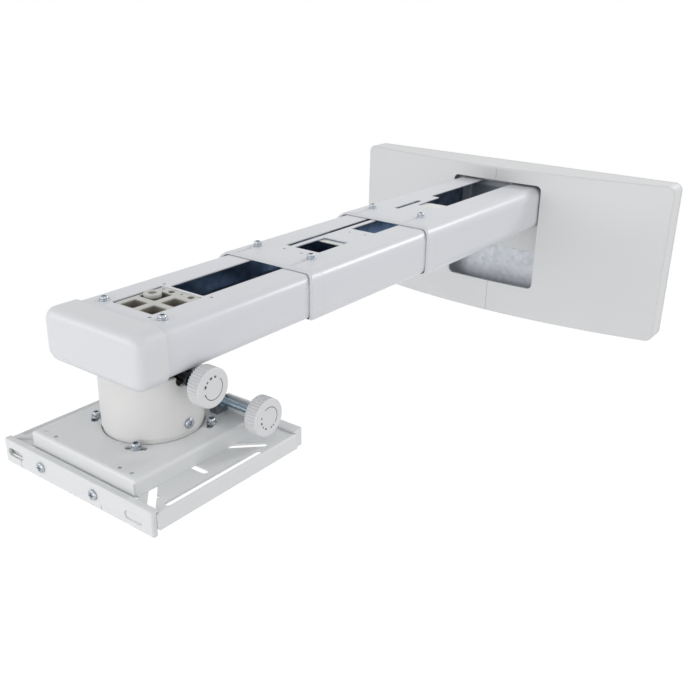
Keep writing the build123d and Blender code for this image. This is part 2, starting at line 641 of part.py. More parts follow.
def arc_slot(radius, width, half_angle, middle_angle):
    """Sketch slot along an arc about the sketch origin."""
    start = middle_angle - half_angle
    with BuildLine() as path:
        CenterArc((0, 0), radius, start, 2 * half_angle)
    SlotArc(arc=path.wire(), height=width)


# Column: cast sleeve around the neck, with the arc slot and its rack for the tilt
COLUMN_FLANGE_RADIUS = 50.0
COLUMN_FLANGE_TOP = SWIVEL_UNDER - SLIDE
COLUMN_FLANGE = 4.0
COLUMN_NECK_RADIUS = COLUMN_RADIUS - 1.0
COLUMN_NECK_TOP = SWIVEL_TOP + 3.2
SLOT_WIDTH = 9.4
TOOTH_PITCH = 2.2
TOOTH_DEPTH = 0.9
slot_half_angle = TILT_RANGE + degrees(1.2 / RACK_RADIUS)
LUG_BOTTOM = ROD_Z + 6.0
LUG = 3.0
PIN_RADIUS = 2.0
with BuildPart() as column:
    with BuildSketch(level(COLUMN_FLANGE_TOP, y=HEAD_Y)):
        Circle(COLUMN_NECK_RADIUS)
    extrude(amount=COLUMN_NECK_TOP - COLUMN_FLANGE_TOP)
    with BuildSketch(level(COLUMN_NECK_TOP, y=HEAD_Y)):
        Circle(COLUMN_RADIUS)
    extrude(amount=COLUMN_TOP - COLUMN_NECK_TOP)
    fillet(column.faces().sort_by(Axis.Z)[-1].edges(), radius=1.0)
    # Lug that the yaw nut's pin works in
    with BuildSketch(level(LUG_BOTTOM, y=HEAD_Y + COLUMN_RADIUS)):
        with Locations((0, 4.6)):
            RectangleRounded(20, 15, 3)
    extrude(amount=LUG)
    with BuildSketch(level(COLUMN_FLANGE_TOP - COLUMN_FLANGE, y=HEAD_Y)):
        Circle(COLUMN_FLANGE_RADIUS)
    extrude(amount=COLUMN_FLANGE)
    with BuildSketch(level(COLUMN_FLANGE_TOP - COLUMN_FLANGE, y=HEAD_Y)):
        Circle(COLUMN_RADIUS - COLUMN_WALL)
    extrude(amount=COLUMN_TOP - COLUMN_FLANGE_TOP + COLUMN_FLANGE, mode=Mode.SUBTRACT)
    with BuildSketch(level(COLUMN_FLANGE_TOP - COLUMN_FLANGE, y=HEAD_Y)):
        with PolarLocations(SWIVEL_BOLT_RADIUS, 4, start_angle=SWIVEL_BOLT_ANGLE):
            Circle(SCREW_RADIUS + FIT)
    extrude(amount=COLUMN_FLANGE, mode=Mode.SUBTRACT)
    with BuildSketch(level(LUG_BOTTOM, y=ROD_Y)):
        SlotOverall(6.4, 2 * PIN_RADIUS + 0.2, rotation=90)
    extrude(amount=LUG, mode=Mode.SUBTRACT)
    # Pivot bolt holes
    with BuildSketch(sideways(-COLUMN_RADIUS - 1, HEAD_Y, PIVOT_Z)):
        Circle(PIVOT_RADIUS + FIT)
    extrude(amount=2 * COLUMN_RADIUS + 2, mode=Mode.SUBTRACT)
    # Arc slot about the pivot on the knob side
    with BuildSketch(sideways(NECK_RADIUS, HEAD_Y, PIVOT_Z)):
        arc_slot(RACK_RADIUS, SLOT_WIDTH, slot_half_angle, 90)
    extrude(amount=COLUMN_RADIUS - NECK_RADIUS + 1, mode=Mode.SUBTRACT)
    # Rack teeth on the lower side of the slot
    tooth_root = RACK_RADIUS - SLOT_WIDTH / 2
    tooth_step = degrees(TOOTH_PITCH / tooth_root)
    tooth_count = int(2 * slot_half_angle / tooth_step) + 1
    with BuildSketch(sideways(COLUMN_RADIUS - COLUMN_WALL + 0.3, HEAD_Y, PIVOT_Z)):
        with PolarLocations(tooth_root, tooth_count, start_angle=90 - tooth_step * (tooth_count - 1) / 2,
                            angular_range=tooth_step * (tooth_count - 1), endpoint=True):
            Polygon((-0.6, -0.8), (TOOTH_DEPTH, -0.25), (TOOTH_DEPTH, 0.25), (-0.6, 0.8), align=None)
    extrude(amount=COLUMN_WALL - 0.9)


def pivot_bolt(side):
    """Shoulder bolt through the column's wall into the neck, with a low domed head."""
    head = 2.2
    with BuildPart() as bolt:
        with BuildSketch(sideways(side * COLUMN_RADIUS, HEAD_Y, PIVOT_Z)):
            Circle(PIVOT_RADIUS + 1.0)
        extrude(amount=side * head)
        face_edges = bolt.edges().group_by(Axis.X)[-1 if side > 0 else 0]
        fillet(face_edges, radius=1.0)
        with BuildSketch(sideways(side * COLUMN_RADIUS, HEAD_Y, PIVOT_Z)):
            Circle(PIVOT_RADIUS)
        extrude(amount=-side * 18)
        with BuildSketch(sideways(side * (COLUMN_RADIUS + head), HEAD_Y, PIVOT_Z)):
            RegularPolygon(radius=2.0, side_count=6)
        extrude(amount=-side * 1.6, mode=Mode.SUBTRACT)
    return bolt


pivot_bolts = group([pivot_bolt(side) for side in (-1, 1)])

KNOB_BORE = 8.5
FLUTE_RADIUS = 0.9


def knob(back_x, y, z, shaft_radius):
    """Fluted knob on a shaft along X; the knob's back sits at `back_x`."""
    plain_rim = 1.6
    with BuildPart() as handle:
        with BuildSketch(sideways(back_x, y, z)):
            Circle(KNOB_RADIUS)
            with PolarLocations(KNOB_RADIUS + 0.25, KNOB_GROOVES):
                Circle(FLUTE_RADIUS, mode=Mode.SUBTRACT)
        extrude(amount=KNOB_LENGTH - plain_rim)
        with BuildSketch(sideways(back_x + KNOB_LENGTH - plain_rim, y, z)):
            Circle(KNOB_RADIUS)
        extrude(amount=plain_rim)
        fillet(handle.edges().group_by(Axis.X)[-1], radius=1.3)
        with BuildSketch(sideways(back_x, y, z)):
            Circle(shaft_radius)
        extrude(amount=KNOB_BORE, mode=Mode.SUBTRACT)
    return handle


# Tilt drive: knob, and shaft with the pinion that works on the rack
PINION_TEETH = 10
SHAFT_END_X = 17.0
tilt_knob = knob(TILT_KNOB_X, HEAD_Y, RACK_Z, SHAFT_RADIUS)
with BuildPart() as tilt_shaft:
    with BuildSketch(sideways(SHAFT_END_X, HEAD_Y, RACK_Z)):
        Circle(SHAFT_RADIUS)
    extrude(amount=TILT_KNOB_X + KNOB_BORE - SHAFT_END_X)
    with BuildSketch(sideways(COLUMN_RADIUS - COLUMN_WALL, HEAD_Y, RACK_Z)):
        with PolarLocations(2.9, PINION_TEETH, start_angle=90):
            Polygon((0, -0.6), (0.75, -0.2), (0.75, 0.2), (0, 0.6), align=None)
    extrude(amount=4.5)
    with BuildSketch(sideways(COLUMN_RADIUS + 3.2, HEAD_Y, RACK_Z)):
        Circle(5.5)
    extrude(amount=2.0)

# Swivel plate: folded tray under the column with arc slots for the clamping bolts
STUD_INSET = 10.0
STUD_END_INSET = 6.0
TOOLING_INSET = 22.0
STUD_X = SWIVEL_WIDTH / 2 - STUD_INSET
STUD_REACH = SWIVEL_LENGTH / 2 - STUD_END_INSET
with BuildPart() as swivel_plate:
    with BuildSketch(level(SWIVEL_TOP - SWIVEL_FLANGE, y=HEAD_Y)):
        RectangleRounded(SWIVEL_WIDTH, SWIVEL_LENGTH, 1.5)
    extrude(amount=SWIVEL_FLANGE)
    fold = swivel_plate.faces().sort_by(Axis.Z)[-1].edges()
    fillet(fold, radius=3.0)
    with BuildSketch(level(SWIVEL_TOP - SWIVEL_FLANGE, y=HEAD_Y)):
        Rectangle(SWIVEL_WIDTH - 2 * SWIVEL_SHEET, SWIVEL_LENGTH - 2 * SWIVEL_SHEET)
    extrude(amount=SWIVEL_FLANGE - SWIVEL_SHEET, mode=Mode.SUBTRACT)
    # Relief notches at the four corners of the folds
    with BuildSketch(level(SWIVEL_TOP - SWIVEL_FLANGE, y=HEAD_Y)):
        with GridLocations(SWIVEL_WIDTH - 1, SWIVEL_LENGTH - 1, 2, 2):
            Rectangle(2.2, 2.2)
    extrude(amount=SWIVEL_FLANGE - 3, mode=Mode.SUBTRACT)
    with BuildSketch(level(SWIVEL_TOP, y=HEAD_Y)):
        Circle(COLUMN_RADIUS + 0.4)
        for quarter in range(4):
            arc_slot(SWIVEL_BOLT_RADIUS, 2 * SCREW_RADIUS + 0.4, YAW_RANGE + 1,
                     SWIVEL_BOLT_ANGLE + 90 * quarter)
        with GridLocations(SWIVEL_WIDTH - 2 * TOOLING_INSET, 2 * STUD_REACH, 2, 2):
            Circle(1.4)
        with GridLocations(2 * STUD_X, 2 * STUD_REACH, 2, 2):
            Circle(1.6)
    extrude(amount=-SWIVEL_SHEET, mode=Mode.SUBTRACT)
    # Upturned guard behind the threaded rod
    guard_from = 31.0
    guard_to = SWIVEL_WIDTH / 2 - 0.5
    with BuildSketch(level(SWIVEL_TOP, y=ROD_Y + 5.5)):
        with Locations(((guard_from + guard_to) / 2, SWIVEL_SHEET / 2)):
            Rectangle(guard_to - guard_from, SWIVEL_SHEET)
    extrude(amount=SWIVEL_FLANGE + 0.6)


def polar_point(quarter):
    """Place of one swivel bolt."""
    angle = radians(SWIVEL_BOLT_ANGLE + 90 * quarter)
    return SWIVEL_BOLT_RADIUS * cos(angle), HEAD_Y + SWIVEL_BOLT_RADIUS * sin(angle)


SWIVEL_BOLT_END = COLUMN_FLANGE_TOP - COLUMN_FLANGE - 2.0
swivel_bolts = group([pan_screw(*polar_point(quarter), SWIVEL_TOP + 0.1, SWIVEL_BOLT_END)
                      for quarter in range(4)])


def standoff(x, y):
    """Stud riveted in the swivel plate that the adapter plate is screwed to."""
    with BuildPart() as stud:
        with BuildSketch(level(ADAPTER_TOP, x, y)):
            RegularPolygon(radius=3.6, side_count=6)
        extrude(amount=SWIVEL_UNDER - ADAPTER_TOP)
        with BuildSketch(level(SWIVEL_UNDER, x, y)):
            Circle(1.6)
        extrude(amount=SWIVEL_SHEET)
        with BuildSketch(level(ADAPTER_TOP, x, y)):
            Circle(1.5)
        extrude(amount=6, mode=Mode.SUBTRACT)
    return stud


def adapter_screw(x, y):
    """Screw from below through the adapter plate into a stud."""
    under = ADAPTER_TOP - ADAPTER_SHEET
    with BuildPart() as screw:
        with BuildSketch(level(under, x, y)):
            Circle(3.0)
        extrude(amount=-1.8)
        fillet(screw.edges().group_by(Axis.Z)[0], radius=0.9)
        with BuildSketch(level(under, x, y)):
            Circle(1.5)
        extrude(amount=6)
        with BuildSketch(level(under - 1.8, x, y)):
            Rectangle(3.2, 0.8)
            Rectangle(0.8, 3.2)
        extrude(amount=1.0, mode=Mode.SUBTRACT)
    return screw


STUD_PLACES = [(x, HEAD_Y + y) for x in (-STUD_X, STUD_X) for y in (-STUD_REACH, STUD_REACH)]
standoffs = group([standoff(x, y) for x, y in STUD_PLACES])
adapter_screws = group([adapter_screw(x, y) for x, y in STUD_PLACES])

# Adapter plate: shallow inverted tray with the slots for the projector's screws
ADAPTER_BACK = ADAPTER_FRONT + ADAPTER_LENGTH
LONG_SLOT = 94.0
LONG_SLOT_INSET = 5.0
CROSS_SLOT = 24.0
CROSS_SLOT_INSET = 25.0
DIAGONAL_SLOT = 33.0
DIAGONAL_X = 65.0
DIAGONAL_Y = 46.0
PROJECTOR_SCREW_SLOT = 6.0
RAIL_SCREWS = (-37.0, 22.0)
RAIL_SCREW_DROP = 7.0
with BuildPart() as adapter_plate:
    with BuildSketch(level(ADAPTER_TOP - ADAPTER_FLANGE, y=(ADAPTER_FRONT + ADAPTER_BACK) / 2)):
        Rectangle(ADAPTER_WIDTH, ADAPTER_LENGTH)
    extrude(amount=ADAPTER_FLANGE)
    fillet(adapter_plate.faces().sort_by(Axis.Z)[-1].edges(), radius=2.4)
    with BuildSketch(level(ADAPTER_TOP - ADAPTER_FLANGE, y=(ADAPTER_FRONT + ADAPTER_BACK) / 2)):
        Rectangle(ADAPTER_WIDTH - 2 * ADAPTER_SHEET, ADAPTER_LENGTH - 2 * ADAPTER_SHEET)
    extrude(amount=ADAPTER_FLANGE - ADAPTER_SHEET, mode=Mode.SUBTRACT)
    with BuildSketch(level(ADAPTER_TOP, y=SLOT_CENTRE_Y)):
        with GridLocations(ADAPTER_WIDTH - 2 * LONG_SLOT_INSET, 0, 2, 1):
            SlotOverall(LONG_SLOT, 5, rotation=90)
        with GridLocations(ADAPTER_WIDTH - 2 * CROSS_SLOT_INSET, 0, 2, 1):
            SlotOverall(CROSS_SLOT, PROJECTOR_SCREW_SLOT)
        for turn_x in (-1, 1):
            for turn_y in (-1, 1):
                with Locations((turn_x * DIAGONAL_X, turn_y * DIAGONAL_Y)):
                    SlotOverall(DIAGONAL_SLOT, PROJECTOR_SCREW_SLOT, rotation=45 * turn_x * turn_y)
        Circle(24)
    extrude(amount=-ADAPTER_SHEET, mode=Mode.SUBTRACT)
    with BuildSketch(level(ADAPTER_TOP)):
        with Locations((67, -646.5), (56.5, -656), (-67, -646.5), (-56.5, -656)):
            Circle(1.9)
        with Locations(*STUD_PLACES):
            Circle(1.7)
    extrude(amount=-ADAPTER_SHEET, mode=Mode.SUBTRACT)
    with BuildSketch(across(ADAPTER_FRONT, z=ADAPTER_TOP - RAIL_SCREW_DROP)):
        with Locations(*[(x, 0) for x in RAIL_SCREWS]):
            Circle(2.1)
    extrude(amount=-ADAPTER_LENGTH, mode=Mode.SUBTRACT)


FRONT_FACE = -665.0
BACK_FACE = -510.5
RAIL_SLOT_LENGTH = 18.0
RAIL_SLOT_HEIGHT = 6.5
FACE_STEPS = [(-22.0, 82.0, 7.0), (42.0, 26.0, 4.7)]
FACE_STEP_DEPTH = 0.4


def rail(face_y, side, gap, height, slots, recesses):
    """Channel bar across one end of the adapter plate, `gap` ahead of it; `side` is -1 in front."""
    top = ADAPTER_TOP + 2.0
    with BuildPart() as bar:
        with BuildSketch(sideways(-RAIL_LENGTH / 2, face_y, top)):
            with Locations((-side * (gap + RAIL_LAP) / 2, -height / 2)):
                Rectangle(gap + RAIL_LAP, height)
        extrude(amount=RAIL_LENGTH)
        outer_face = bar.faces().sort_by(Axis.Y)[0 if side < 0 else -1]
        fillet(outer_face.edges(), radius=1.6)
        # Open back with the two end cheeks
        with BuildSketch(sideways(-RAIL_LENGTH / 2 + RAIL_SHEET, face_y, top)):
            with Locations((-side * (RAIL_SHEET + gap + RAIL_LAP) / 2, -height / 2 - RAIL_SHEET / 2)):
                Rectangle(gap + RAIL_LAP - RAIL_SHEET, height - RAIL_SHEET)
        extrude(amount=RAIL_LENGTH - 2 * RAIL_SHEET, mode=Mode.SUBTRACT)
        with BuildSketch(sideways(-RAIL_LENGTH / 2, face_y, top)):
            with Locations((-side * (gap + RAIL_LAP / 2 - 0.1), -height / 2 - RAIL_SHEET / 2)):
                Rectangle(RAIL_LAP + 0.2, height - RAIL_SHEET)
        extrude(amount=RAIL_LENGTH, mode=Mode.SUBTRACT)
        # End slots and screw holes
        with BuildSketch(across(face_y, z=top)):
            with Locations(*slots):
                SlotOverall(RAIL_SLOT_LENGTH, RAIL_SLOT_HEIGHT)
            with Locations(*[(x, -RAIL_SCREW_DROP - 2.0) for x in RAIL_SCREWS]):
                Circle(2.1)
        extrude(amount=3.5, both=True, mode=Mode.SUBTRACT)
        with BuildSketch(across(face_y, z=top)) as blind:
            with Locations(*recesses):
                SlotOverall(RAIL_SLOT_LENGTH, RAIL_SLOT_HEIGHT)
        extrude(blind.sketch, amount=RAIL_SHEET / 2, both=True, mode=Mode.SUBTRACT)
        if side < 0:
            # Shallow step along the lower part of the face
            with BuildSketch(across(face_y, z=top - height)):
                for middle, length, step_height in FACE_STEPS:
                    with Locations((middle, step_height / 2)):
                        Rectangle(length, step_height)
            extrude(amount=FACE_STEP_DEPTH, both=True, mode=Mode.SUBTRACT)
    return bar


front_rail = rail(FRONT_FACE, -1, ADAPTER_FRONT - FRONT_FACE, RAIL_HEIGHT, [(-68.5, -9.5)], [(63, -11)])
rear_rail = rail(BACK_FACE, 1, BACK_FACE - ADAPTER_BACK, REAR_RAIL_HEIGHT, [(-66, -8)], [(66, -8)])


def rail_screw(x, face_y, side):
    """Pan screw through a rail into the adapter plate's flange."""
    z = ADAPTER_TOP - RAIL_SCREW_DROP
    outward = Plane(origin=(x, face_y, z), x_dir=(-side, 0, 0), z_dir=(0, side, 0))
    with BuildPart() as screw:
        with BuildSketch(outward):
            Circle(4.0)
        extrude(amount=2.2)
        rim = screw.edges().group_by(Axis.Y)[0 if side < 0 else -1]
        fillet(rim, radius=1.3)
        with BuildSketch(outward):
            Circle(2.0)
        extrude(amount=-abs(face_y - (ADAPTER_FRONT if side < 0 else ADAPTER_BACK)) - 4.5)
        with BuildSketch(outward.offset(2.2)):
            Rectangle(4.4, 1.0)
            Rectangle(1.0, 4.4)
        extrude(amount=-1.4, mode=Mode.SUBTRACT)
    return screw


rail_screws = group([rail_screw(x, FRONT_FACE, -1) for x in RAIL_SCREWS]
                    + [rail_screw(x, BACK_FACE, 1) for x in RAIL_SCREWS])

# Yaw drive: bearing block on the swivel plate, threaded rod with its knob, and the nut
BLOCK_LEFT = 23.0
BLOCK_RIGHT = 31.0
with BuildPart() as rod_block:
    rod_rise = ROD_Z - SWIVEL_TOP
    with BuildSketch(sideways(BLOCK_LEFT, ROD_Y, SWIVEL_TOP)):
        with Locations((0, rod_rise / 2)):
            Rectangle(2 * ROD_RADIUS + 6, rod_rise)
        with Locations((0, rod_rise)):
            Circle(ROD_RADIUS + 3)
            Circle(ROD_RADIUS + FIT, mode=Mode.SUBTRACT)
    extrude(amount=BLOCK_RIGHT - BLOCK_LEFT)

ROD_END_X = -14.0
with BuildPart() as yaw_rod:
    with BuildSketch(sideways(ROD_END_X, ROD_Y, ROD_Z)):
        Circle(ROD_RADIUS)
    extrude(amount=YAW_KNOB_X + KNOB_BORE - ROD_END_X)
    chamfer(yaw_rod.edges().group_by(Axis.X)[0], length=0.7)
    for start in (BLOCK_LEFT - 2.3, BLOCK_RIGHT + 0.3):
        with BuildSketch(sideways(start, ROD_Y, ROD_Z)):
            Circle(ROD_RADIUS + 1.6)
        extrude(amount=2.0)

yaw_knob = knob(YAW_KNOB_X, ROD_Y, ROD_Z, ROD_RADIUS)

NUT_WIDTH = 12.0
NUT_HEIGHT = 10.0
NUT_FRONT = HEAD_Y + COLUMN_RADIUS + 0.6
NUT_BACK = ROD_Y + 4.6
with BuildPart() as yaw_nut:
    with BuildSketch(level(ROD_Z - NUT_HEIGHT / 2)):
        with Locations((0, (NUT_FRONT + NUT_BACK) / 2)):
            Rectangle(NUT_WIDTH, NUT_BACK - NUT_FRONT)
    extrude(amount=NUT_HEIGHT)
    with BuildSketch(level(ROD_Z + NUT_HEIGHT / 2, y=ROD_Y)):
        Circle(PIN_RADIUS)
    extrude(amount=LUG + 2)
    with BuildSketch(sideways(-NUT_WIDTH / 2, ROD_Y, ROD_Z)):
        Circle(ROD_RADIUS + FIT)
    extrude(amount=NUT_WIDTH, mode=Mode.SUBTRACT)

NODES = {
    "wall_plate": wall_plate.part,
    "cover_left": cover_left.part,
    "cover_right": cover_right.part,
    "cover_screws": cover_screws,
    "carriage": carriage.part,
    "carriage_bolts": carriage_bolts,
    "outer_tube": outer_tube.part,
    "outer_collar": outer_collar.part,
    "middle_clamp_screws": middle_clamp_screws,
    "middle_tube": middle_tube.part,
    "middle_collar": middle_collar.part,
    "middle_glides": middle_glides,
    "inner_clamp_screws": inner_clamp_screws,
    "inner_tube": inner_tube.part,
    "inner_glides": inner_glides,
    "end_cap": end_cap.part,
    "head_core": head_core.part,
    "core_screws": core_screws,
    "column": column.part,
    "pivot_bolts": pivot_bolts,
    "tilt_knob": tilt_knob.part,
    "tilt_shaft": tilt_shaft.part,
    "swivel_plate": swivel_plate.part,
    "swivel_bolts": swivel_bolts,
    "standoffs": standoffs,
    "adapter_plate": adapter_plate.part,
    "adapter_screws": adapter_screws,
    "front_rail": front_rail.part,
    "rear_rail": rear_rail.part,
    "rail_screws": rail_screws,
    "rod_block": rod_block.part,
    "yaw_rod": yaw_rod.part,
    "yaw_knob": yaw_knob.part,
    "yaw_nut": yaw_nut.part,
}

for name, solid in NODES.items():
    solid.label = name
    export_step(solid, f"parts/{name}.step")
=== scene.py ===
# %% [markdown]
# A projector wall mount hangs on a wall and carries a short-throw projector at the end of a telescoping arm.
# The solids come from the imported model. This lesson gives them their real finishes, prints the marks on the
# knobs, and sets up the light and the camera.

# %% Load the frame
import math

import bmesh
import bpy
from mathutils import Matrix, Vector


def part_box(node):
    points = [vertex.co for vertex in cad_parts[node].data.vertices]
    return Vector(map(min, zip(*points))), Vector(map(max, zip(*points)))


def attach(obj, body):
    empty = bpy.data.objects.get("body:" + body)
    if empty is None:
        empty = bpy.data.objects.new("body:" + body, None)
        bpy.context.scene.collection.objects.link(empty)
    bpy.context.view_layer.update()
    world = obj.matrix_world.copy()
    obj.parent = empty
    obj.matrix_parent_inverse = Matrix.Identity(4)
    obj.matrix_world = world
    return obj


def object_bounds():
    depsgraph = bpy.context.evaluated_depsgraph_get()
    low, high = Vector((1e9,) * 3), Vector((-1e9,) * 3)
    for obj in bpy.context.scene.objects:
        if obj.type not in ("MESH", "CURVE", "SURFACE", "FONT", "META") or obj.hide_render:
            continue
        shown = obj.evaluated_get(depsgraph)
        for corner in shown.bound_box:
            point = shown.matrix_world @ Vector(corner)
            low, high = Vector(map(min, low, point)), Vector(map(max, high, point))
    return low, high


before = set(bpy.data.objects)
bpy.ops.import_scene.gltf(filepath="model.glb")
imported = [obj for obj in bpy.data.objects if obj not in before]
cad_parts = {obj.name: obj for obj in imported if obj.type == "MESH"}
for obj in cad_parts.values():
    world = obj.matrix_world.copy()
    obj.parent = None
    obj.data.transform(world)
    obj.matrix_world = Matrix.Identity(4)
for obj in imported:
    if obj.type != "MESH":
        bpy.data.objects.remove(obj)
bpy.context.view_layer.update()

MM = 0.001

# %% [markdown]
# Paint and plastic are mostly one colour, but light never falls on them evenly. Each finish below starts
# from what the real surface is and adds the small variation that its making leaves: the orange peel of a
# powder coat, the spark texture of a mould, the crystals of hot-dip zinc.


# %% Helpers for colours and nodes
def linear(hex_colour, factor=1.0):
    """Linear colour from an sRGB hex value such as D8DADC, made darker or paler by a factor."""
    values = [int(hex_colour[i:i + 2], 16) / 255 for i in (0, 2, 4)]
    straight = [v / 12.92 if v <= 0.04045 else ((v + 0.055) / 1.055) ** 2.4 for v in values]
    return [min(1.0, v * factor) for v in straight] + [1.0]


def add_node(tree, kind, settings=None, **inputs):
    """Adds a node; settings are its attributes, inputs its sockets: a value, or a socket to link from.

    An input has its socket's name, with _ for a space, or i0, i1 and so on for its place in the row."""
    node = tree.nodes.new(kind)
    for name, value in (settings or {}).items():
        setattr(node, name, value)
    for name, value in inputs.items():
        by_place = name[0] == "i" and name[1:].isdigit()
        socket = node.inputs[int(name[1:]) if by_place else name.replace("_", " ")]
        if isinstance(value, bpy.types.NodeSocket):
            tree.links.new(value, socket)
        else:
            socket.default_value = value
    return node


def start_material(name):
    """New material with its Principled shader and object coordinates."""
    material = bpy.data.materials.new(name)
    material.use_nodes = True
    tree = material.node_tree
    shader = tree.nodes["Principled BSDF"]
    place = add_node(tree, "ShaderNodeTexCoord").outputs["Object"]
    return material, tree, shader, place


EDGE_RADIUS = 0.45 * MM
EDGE_SAMPLES = 4


def finish_bump(tree, shader, height, strength, distance):
    """Bump over softly rounded edges, as no folded or moulded edge is perfectly sharp."""
    rounded = add_node(tree, "ShaderNodeBevel", {"samples": EDGE_SAMPLES}, Radius=EDGE_RADIUS)
    bump = add_node(tree, "ShaderNodeBump", Height=height, Normal=rounded.outputs["Normal"],
                    Strength=strength, Distance=distance)
    tree.links.new(bump.outputs["Normal"], shader.inputs["Normal"])


# %% [markdown]
# The tubes are painted outside only, and inside them the bare zinc shows. Each tube is one mesh, so its
# material has to tell inside from outside. It measures how far a point lies from the arm's axis in terms of
# the tube's rounded outline, and calls it inside once it is deeper than the paint.

# %% The inside of a tube
ANY_LENGTH = 10.0  # metres, longer than the arm, so that the mask has no limit along it
arm_low, arm_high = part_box("outer_tube")
ARM_HEIGHT = (arm_low.z + arm_high.z) / 2


def inside_mask(tree, place, half_width, half_height, corner, depth):
    """1 where a point lies deeper than `depth` under the tube's rounded outside, else 0."""
    kind = "ShaderNodeVectorMath"
    centred = add_node(tree, kind, {"operation": "SUBTRACT"}, i0=place, i1=(0.0, 0.0, ARM_HEIGHT))
    folded = add_node(tree, kind, {"operation": "ABSOLUTE"}, i0=centred.outputs[0])
    past = add_node(tree, kind, {"operation": "SUBTRACT"}, i0=folded.outputs[0],
                    i1=(half_width - corner, ANY_LENGTH, half_height - corner))
    kept = add_node(tree, kind, {"operation": "MAXIMUM"}, i0=past.outputs[0], i1=(0.0, 0.0, 0.0))
    reach = add_node(tree, kind, {"operation": "LENGTH"}, i0=kept.outputs[0])
    deep = add_node(tree, "ShaderNodeMath", {"operation": "LESS_THAN"}, i0=reach.outputs["Value"],
                    i1=corner - depth)
    return deep.outputs[0]


print("arm axis at", round(ARM_HEIGHT / MM, 1), "mm")

# %% [markdown]
# Powder coat is a dry polyester powder that is baked on the steel until it flows. It keeps a faint orange
# peel of about 3 mm waves, its tone drifts slowly over the sheet, and it is satin rather than glossy. The
# raw steel inside the tubes is drawn with zinc crystals of 9 mm, each paler in its middle.

# %% Powder-coated steel
PEEL_SIZE = 3.0 * MM
PEEL_DEPTH = 0.12 * MM
PEEL_STRENGTH = 0.12
COAT_DRIFT_SIZE = 83.333 * MM
COAT_DRIFT_SHARE = 0.35
COAT_DARKER = 0.93
COAT_ROUGHNESS = 0.32
PAINT_IOR = 1.5
RAW_CRYSTAL = 9.0 * MM


def powder_coat(name, colour, bare_inside=None):
    """Satin powder coat; with bare_inside, raw zinc inside a tube of those sizes."""
    material, tree, shader, place = start_material(name)
    peel = add_node(tree, "ShaderNodeTexNoise", Vector=place, Scale=1 / PEEL_SIZE, Detail=2.0)
    drift = add_node(tree, "ShaderNodeTexNoise", Vector=place, Scale=1 / COAT_DRIFT_SIZE, Detail=3.0)
    soft = add_node(tree, "ShaderNodeMapRange", Value=drift.outputs["Fac"], To_Min=0.0,
                    To_Max=COAT_DRIFT_SHARE)
    paint = add_node(tree, "ShaderNodeMix", {"data_type": "RGBA"}, i0=soft.outputs["Result"],
                     i6=linear(colour), i7=linear(colour, COAT_DARKER)).outputs[2]
    if bare_inside:
        raw = add_node(tree, "ShaderNodeTexVoronoi", Vector=place, Scale=1 / RAW_CRYSTAL)
        zinc = add_node(tree, "ShaderNodeMix", {"data_type": "RGBA"}, i0=raw.outputs["Distance"],
                        i6=linear("9DADC0"), i7=linear("71829A")).outputs[2]
        mask = inside_mask(tree, place, *bare_inside)
        paint = add_node(tree, "ShaderNodeMix", {"data_type": "RGBA"}, i0=mask, i6=paint,
                         i7=zinc).outputs[2]
        tree.links.new(mask, shader.inputs["Metallic"])
    tree.links.new(paint, shader.inputs["Base Color"])
    shader.inputs["Roughness"].default_value = COAT_ROUGHNESS
    shader.inputs["IOR"].default_value = PAINT_IOR
    finish_bump(tree, shader, peel.outputs["Fac"], PEEL_STRENGTH, PEEL_DEPTH)
    return material


TUBE_CORNERS = {"outer_tube": 11 * MM, "middle_tube": 10 * MM, "inner_tube": 9 * MM}
COAT_DEPTH = 0.9 * MM


def tube_coat(node):
    """Powder coat for one tube, raw zinc inside it."""
    low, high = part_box(node)
    half_width = (high.x - low.x) / 2
    half_height = (high.z - low.z) / 2
    print(node, "is", round(2 * half_width / MM, 1), "by", round(2 * half_height / MM, 1), "mm")
    return powder_coat("powder coated steel " + node, "D9DBE0",
                       (half_width, half_height, TUBE_CORNERS[node], COAT_DEPTH))


plate_coat = powder_coat("powder coated steel plate", "DDDFE0")
tube_coats = {node: tube_coat(node) for node in TUBE_CORNERS}

# %% [markdown]
# The cover, the cap, the collars and the knobs are moulded ABS, and the glides are moulded acetal. A mould
# is spark-eroded so that its fine grain hides sink marks. The real grain is about 0.1 mm. It is drawn at
# 0.8 mm, and even so it shows only as a softness of the reflections.

# %% Moulded plastics
GRAIN_SIZE = 0.8 * MM
GRAIN_DEPTH = 0.05 * MM
GRAIN_STRENGTH = 0.1
GRAIN_SPREAD = 0.05
FLOW_SIZE = 111.11 * MM
FLOW_DARKER = 0.95
PLASTIC_IOR = 1.53


def moulded_plastic(name, colour, roughness):
    """Moulded plastic with a fine spark-eroded grain."""
    material, tree, shader, place = start_material(name)
    grain = add_node(tree, "ShaderNodeTexNoise", Vector=place, Scale=1 / GRAIN_SIZE, Detail=1.0)
    flow = add_node(tree, "ShaderNodeTexNoise", Vector=place, Scale=1 / FLOW_SIZE, Detail=2.0)
    tint = add_node(tree, "ShaderNodeMix", {"data_type": "RGBA"}, i0=flow.outputs["Fac"],
                    i6=linear(colour), i7=linear(colour, FLOW_DARKER))
    tree.links.new(tint.outputs[2], shader.inputs["Base Color"])
    rough = add_node(tree, "ShaderNodeMapRange", Value=grain.outputs["Fac"],
                     To_Min=roughness - GRAIN_SPREAD, To_Max=roughness + GRAIN_SPREAD)
    tree.links.new(rough.outputs["Result"], shader.inputs["Roughness"])
    shader.inputs["IOR"].default_value = PLASTIC_IOR
    finish_bump(tree, shader, grain.outputs["Fac"], GRAIN_STRENGTH, GRAIN_DEPTH)
    return material


